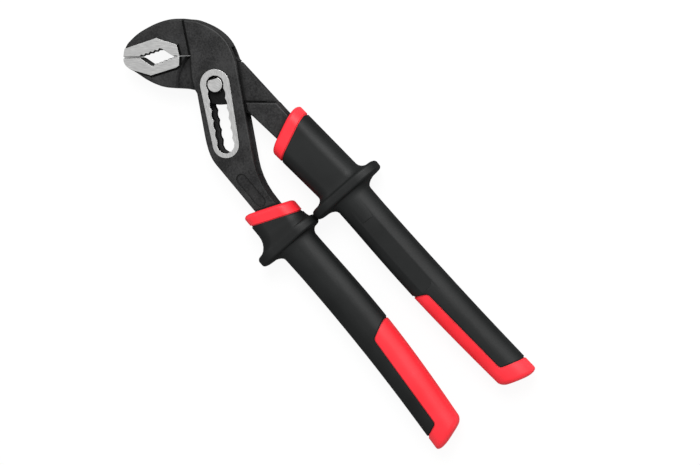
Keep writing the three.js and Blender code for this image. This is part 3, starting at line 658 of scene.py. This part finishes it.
gripHandles = {
    "inner": {"body": "inner_half", "inward": -1, "flare": 3.8, "gentle": False, "collar": 37.8,
              "start": 11.6, "guard": 15.1, "heel": 21.1, "bow": 1.2, "strip": (2.4, 1.8),
              "panel": {"from": (98, 2), "to": (141.5, 21.2), "corner": 4.5, "depth": 0.3,
                        "cutterHeight": 4}},
    "outer": {"body": "outer_half", "inward": 1, "flare": 6.5, "gentle": True, "collar": 61.3,
              "start": -20.42, "guard": -20.42, "heel": -23.22, "bow": 2.2, "strip": (-0.4, -1)},
}
gripStart = grip["guardStart"] + grip["guardThickness"]
heelPlace = gripStart + grip["gripLength"]
# The angles of a rounding's steps, from 0 to 90 degrees
quarter = [math.pi / 2 * step / grip["arcSteps"] for step in range(grip["arcSteps"] + 1)]


def mix(first, second, share):
    return first + (second - first) * share


def centreOf(handle, x):
    # How far the handle's middle line lies from the bolt, straight to the guard and then bowed
    if x < grip["guardStart"]:
        share = (x - handle["collar"]) / (grip["guardStart"] - handle["collar"])
        return mix(handle["start"], handle["guard"], share)
    share = min(max((x - gripStart) / grip["gripLength"], 0), 1)
    bow = handle["inward"] * handle["bow"] * math.sin(math.pi * share)
    return mix(handle["guard"], handle["heel"], share) + bow


def slopeOf(slant):
    return math.tan(math.radians(grip[slant]))


def leanOf(handle, x):
    # How far a section leans: as the collar at one end, as the heel at the other
    front = max((grip["guardStart"] - x) / (grip["guardStart"] - handle["collar"]), 0)
    rear = max((x - heelPlace + grip["stripLength"]) / grip["stripLength"], 0)
    return handle["inward"] * (front * slopeOf("collarSlant") - rear * slopeOf("heelSlant"))


def swellAt(share):
    places = grip["swell"]
    index = min(int(share * (len(places) - 1)), len(places) - 2)
    return mix(places[index], places[index + 1], share * (len(places) - 1) - index)


def frontRows(handle, inset, withGuard):
    # Sections from the collar to the guard: place, half widths to the inner and the outer side,
    # half thickness
    sleeve = (grip["sleeveWidth"] / 2 - inset, grip["sleeveThickness"] / 2 - inset)
    front = max(grip["frontRounding"] - inset, grip["least"])
    start = handle["collar"] + inset
    rows = []
    for angle in quarter:
        cut = front * (1 - math.sin(angle))
        rows.append((start + front * (1 - math.cos(angle)), sleeve[0] - cut,
                     sleeve[0] - cut * grip["acuteRounding"], sleeve[1] - cut))
    flare = handle["flare"] if withGuard else 0
    first, last = rows[-1][0], grip["guardStart"] - flare
    rimTop = grip["guardStart"] + grip["guardEdge"]
    for step in range(1, grip["sleeveSteps"] + 1):
        rows.append((mix(first, last, step / grip["sleeveSteps"]), sleeve[0], sleeve[0], sleeve[1]))
    if not withGuard:
        return rows
    for angle in quarter[1:]:
        x = last + flare * math.sin(angle)
        rows.append(guardRow(handle, x, sleeve, 1 - math.cos(angle), None))
    for angle in quarter[1:]:
        x = grip["guardStart"] + grip["guardEdge"] * (1 - math.cos(angle))
        rows.append(guardRow(handle, x, sleeve, 0, 1 - math.sin(angle)))
    if handle["gentle"]:
        for index, (x, inner, outer, thick) in enumerate(rows):
            share = max(0, (x - last) / (rimTop - last))
            rise = share * share * (3 - 2 * share)
            if share > 0:
                rows[index] = (x, inner, outer, mix(sleeve[1], grip["guardDepth"] / 2, rise))
    for angle in reversed(quarter[:-1]):
        x = gripStart - grip["guardEdge"] * (1 - math.cos(angle))
        rows.append(guardRow(handle, x, sleeve, 0, 1 - math.sin(angle)))
    return rows


def rearRows(handle, inset, withGuard):
    # Sections from inside the guard to the heel
    hold = (grip["gripWidth"] / 2 - inset, grip["gripThickness"] / 2 - inset)
    heel = max(grip["heelRounding"] - inset, grip["least"])
    flare = grip["rearFlare"] if withGuard else 0
    rows = [(grip["guardStart"] - grip["edge"], hold[0], hold[0], hold[1])]
    if withGuard:
        rows = [guardRow(handle, gripStart - grip["edge"], hold, 1, None)]
        for angle in reversed(quarter):
            x = gripStart + flare * (1 - math.sin(angle))
            rows.append(guardRow(handle, x, hold, 1 - math.cos(angle), None))
    first, last = gripStart + flare, heelPlace - inset - heel
    for step in range(1, grip["gripSteps"] + 1):
        x = mix(first, last, step / grip["gripSteps"])
        half = hold[0] * swellAt((x - gripStart) / (last - gripStart))
        rows.append((x, half, half, hold[1]))
    for angle in quarter[1:]:
        cut = heel * (1 - math.cos(angle))
        rows.append((last + heel * math.sin(angle), half - cut, half - cut * grip["acuteRounding"],
                     hold[1] - cut))
    return rows


def guardRow(handle, x, foot, flaring, rounding):
    # A foot's curve up to the rim's rounding, or the rounding itself, on each of the three sides
    meeting = grip["guardMeeting"] - handle["inward"] * grip["guardGap"] / 2
    reach = ((meeting - handle["guard"]) * handle["inward"], grip["guardOuterReach"],
             grip["guardDepth"] / 2)
    bases = (foot[0], foot[0], foot[1])
    rounds = [min(grip["guardEdge"], (top - base) * grip["rimShare"])
              for top, base in zip(reach, bases)]
    if rounding is None:
        return (x, *(mix(base, top - edge, flaring) for base, top, edge in zip(bases, reach, rounds)))
    return (x, *(top - edge * rounding for top, edge in zip(reach, rounds)))


def extrudeRows(handle, name, rows, home, inset, stretch):
    # A rounded section is extruded from row to row, turned and sized at each
    radius = max(grip["corner"] - inset, grip["edge"])
    narrow = home[0] / stretch - 2 * inset  # widened below, with its round corners
    thick = home[1] / 2 - inset
    x = rows[0][0]
    bpy.ops.object.select_all(action="DESELECT")
    bpy.ops.mesh.primitive_plane_add(size=1, rotation=(0, math.radians(90), 0), location=place(x, 0))
    piece = named(name)
    applyPlace(piece)
    edit(piece)
    bpy.ops.mesh.select_all(action="SELECT")
    bpy.ops.transform.resize(value=(1, narrow * mm, 2 * thick * mm), center_override=place(x, 0))
    bpy.ops.mesh.bevel(offset=min(radius, thick - grip["edge"]) * mm, segments=grip["cornerSegments"],
                       affect="VERTICES")
    bpy.ops.mesh.select_all(action="SELECT")
    centre = place(x, 0)
    turn = 0
    size = (narrow, thick)
    for index, (x, inner, outer, thick) in enumerate(rows):
        middle = centreOf(handle, x) + handle["inward"] * (inner - outer) / 2
        target = place(x + leanOf(handle, x) * (middle - centreOf(handle, x)), middle)
        if index:
            bpy.ops.mesh.extrude_region_move(TRANSFORM_OT_translate={"value": target - centre})
        else:
            bpy.ops.transform.translate(value=target - centre)
        centre = target
        if turn:
            bpy.ops.transform.rotate(value=-turn, orient_axis="Z", center_override=centre)
        turn = math.atan(leanOf(handle, x))
        width = (inner + outer) / math.cos(turn)
        bpy.ops.transform.resize(value=(1, width / size[0], thick / size[1]),
                                 center_override=centre)
        size = (width, thick)
        if turn:
            bpy.ops.transform.rotate(value=turn, orient_axis="Z", center_override=centre)
    bpy.ops.mesh.select_all(action="SELECT")
    bpy.ops.mesh.normals_make_consistent(inside=False)
    leaveEdit()
    return piece


def makeForm(handle, name, inset, withGuard):
    front = extrudeRows(handle, name, frontRows(handle, inset, withGuard),
                        (grip["sleeveWidth"], grip["sleeveThickness"]), inset, grip["sleeveStretch"])
    rear = extrudeRows(handle, "rear", rearRows(handle, inset, withGuard),
                       (grip["gripWidth"], grip["gripThickness"]), inset, grip["gripStretch"])
    return combine(front, rear, "UNION")


def makeWedge(name, planes):
    # A large block cut by planes, each given by a point and a direction that is cut away
    bpy.ops.object.select_all(action="DESELECT")
    bpy.ops.mesh.primitive_cube_add(size=grip["blockSize"] * mm, location=place(grip["blockCentre"], 0))
    piece = named(name)
    applyPlace(piece)
    edit(piece)
    for point, away in planes:
        bpy.ops.mesh.select_all(action="SELECT")
        bpy.ops.mesh.bisect(plane_co=point, plane_no=away, use_fill=True, clear_outer=True)
    leaveEdit()
    return piece


def coverRoom(handle):
    # The room of the black cover: between collar and heel, less the wedge of the red strip
    side = handle["inward"]

    def at(x, across):
        return place(x, centreOf(handle, x) + side * across)

    collarBack = handle["collar"] + grip["collarLength"]
    capFront = heelPlace - grip["heelCap"]
    room = makeWedge("coverRoom", (
        (at(collarBack, 0), (-1, side * slopeOf("collarSlant"), 0)),
        (at(capFront, 0), (1, side * slopeOf("heelSlant"), 0))))
    front, rear = handle["strip"]
    stripStart = heelPlace - grip["stripLength"]
    start, end = at(stripStart, front), at(capFront, rear)
    along = end - start
    strip = makeWedge("stripWedge", (
        (start, (side * along.y, -side * along.x, 0)),
        (start, (-1, -side * slopeOf("stripSlant"), 0))))
    return roundUprights(combine(room, strip, "DIFFERENCE"), grip["roomCorner"])


def makeSeam(handle, room):
    # The groove where the black cover meets the red core: a skin over the room, down to a floor
    seam = withModifier(copyOf(room, "seam"), "SOLIDIFY", thickness=grip["seamWidth"] * mm,
                        offset=0, use_even_offset=True)
    return combine(seam, makeForm(handle, "seamFloor", grip["seamDepth"], False), "DIFFERENCE")


def finishGripPiece(piece, finish, node, body):
    cleanMesh(piece, grip["weld"], grip["flatAngle"])
    smoothEdges(piece, grip["rim"], grip["rimSegments"], grip["rimAngle"], grip["smoothAngle"])
    piece.data.materials.clear()
    piece.data.materials.append(materials[finish])
    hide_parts(node)
    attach(piece, body)
    report(piece.name + " " + str(len(piece.data.polygons)) + " faces")


def makePanelCutter(handle):
    # The smooth panel on the front of the grip, a little lower than the ridge beside it
    panel = handle["panel"]
    (left, low), (right, high) = panel["from"], panel["to"]
    height = panel["cutterHeight"]
    middle = grip["gripThickness"] / 2 - panel["depth"] + height / 2
    bpy.ops.object.select_all(action="DESELECT")
    bpy.ops.mesh.primitive_cube_add(size=mm, scale=(right - left, high - low, height),
                                    location=place((left + right) / 2, (low + high) / 2, middle))
    cutter = named("panelCutter")
    applyPlace(cutter)
    return roundUprights(cutter, panel["corner"])


def makeGrip(key):
    handle = gripHandles[key]
    room = coverRoom(handle)
    lining = makeForm(handle, "lining", grip["wall"], False)
    core = makeForm(handle, key + "_grip_core_red", 0, False)
    cover = makeForm(handle, key + "_grip_cover_black", 0, True)
    combine(core, room, "DIFFERENCE", keep=True)
    combine(core, lining, "UNION", keep=True)
    tang = copyOf(frame["nodes"][handle["body"]], "tangCutter")
    cleanMesh(tang, forging["weld"], forging["flatAngle"])
    combine(core, tang, "DIFFERENCE")
    combine(cover, room, "INTERSECT", keep=True)
    combine(cover, lining, "DIFFERENCE")
    if "panel" in handle:
        combine(cover, makePanelCutter(handle), "DIFFERENCE")
    seam = makeSeam(handle, room)
    combine(core, seam, "DIFFERENCE", keep=True)
    combine(cover, seam, "DIFFERENCE")
    bpy.data.objects.remove(room)
    finishGripPiece(core, "redPlastic", key + "_grip_core", handle["body"])
    finishGripPiece(cover, "blackPlastic", key + "_grip_cover", handle["body"])


# Stage: a pale floor, a white world and soft lamps, in metres apart from the floor's drop
stage = {
    "floorSize": 6, "floorDrop": 0.1, "floorColour": (0.93, 0.93, 0.93), "floorRough": 0.9,
    "floorSpecular": 0.1, "floorMirrored": (0.13, 0.13, 0.13), "floorGlow": 0.92,
    "world": 0.55, "worldMirrored": 0.35,
    "lamps": {
        "key": {"direction": (-0.45, 0.5, 1), "distance": 1.1, "size": 0.6, "power": 10},
        "side": {"direction": (0.05, 0.75, 0.7), "distance": 1.0, "size": 1.1, "power": 4.3}},
}


def makeFloor():
    bpy.ops.object.select_all(action="DESELECT")
    bpy.ops.mesh.primitive_plane_add(size=stage["floorSize"], location=(0, 0, -stage["floorDrop"] * mm))
    floor = named("paleFloor")
    material = bpy.data.materials.new("paleFloor")
    material.use_nodes = True
    tree = material.node_tree
    shader = tree.nodes["Principled BSDF"]
    path = addNode(tree, "ShaderNodeLightPath")
    colour = mixColours(tree, path.outputs["Is Glossy Ray"], stage["floorColour"],
                        stage["floorMirrored"])
    tree.links.new(colour, shader.inputs["Base Color"])
    shader.inputs["Roughness"].default_value = stage["floorRough"]
    shader.inputs["Specular IOR Level"].default_value = stage["floorSpecular"]
    glow = addNode(tree, "ShaderNodeEmission", {"Color": (1, 1, 1, 1), "Strength": 1.0})
    share = multiply(tree, path.outputs["Is Camera Ray"], stage["floorGlow"])
    mixed = addNode(tree, "ShaderNodeMixShader", {0: share, 1: shader.outputs["BSDF"],
                                                  2: glow.outputs["Emission"]})
    tree.links.new(mixed.outputs["Shader"], tree.nodes["Material Output"].inputs["Surface"])
    floor.data.materials.append(material)


def makeWorld():
    world = bpy.data.worlds.new("whiteRoom")
    world.use_nodes = True
    tree = world.node_tree
    background = tree.nodes["Background"]
    background.inputs["Color"].default_value = (1, 1, 1, 1)
    path = addNode(tree, "ShaderNodeLightPath")
    seen = remap(tree, path.outputs["Is Camera Ray"], 0, 1, stage["world"], 1.0)
    mirrored = remap(tree, path.outputs["Is Glossy Ray"], 0, 1, 1.0,
                     stage["worldMirrored"] / stage["world"])
    tree.links.new(multiply(tree, seen, mirrored), background.inputs["Strength"])
    bpy.context.scene.world = world


def makeLamps():
    for name, lamp in stage["lamps"].items():
        direction = Vector(lamp["direction"]).normalized()
        bpy.ops.object.light_add(type="AREA", location=direction * lamp["distance"])
        light = bpy.context.object
        light.name = name + "Lamp"
        light.data.shape = "DISK"
        light.data.size = lamp["size"]
        light.data.energy = lamp["power"]
        light.rotation_mode = "QUATERNION"
        light.rotation_quaternion = (-direction).to_track_quat("-Z", "Y")


bpy.context.scene.view_settings.view_transform = "Standard"
addCamera()
report("camera")
groups = {"grain": makeGrain(), "wearAndSheen": makeWearAndSheen(), "crevice": makeCrevice(),
          "strokes": makeStrokes()}
forgedFinishes = {"forgedSteel": forgedFinish, "paintedShadeSteel": paintedShadeFinish,
                  "webSteel": webFinish, "toothSteel": toothFinish}
strokeAngles = {"jawGroundSteel": forging["jawAngle"], "bandGroundSteel": forging["slotAngle"],
                "boltSteel": bolt["strokeAngle"], "springSteel": 0}
materials = {name: makeForgedSteel(name, finish) for name, finish in forgedFinishes.items()}
materials.update({name: makeGroundSteel(name, angle) for name, angle in strokeAngles.items()})
materials.update({name: makePlastic(name) for name in plasticFinishes})
report("materials")
makeForging("outer_half", "outer_half")
makeForging("inner_half", "inner_half")
makeBolt()
makeSpringRing()
makeGrip("outer")
makeGrip("inner")
makeFloor()
makeWorld()
makeLamps()
report("stage")
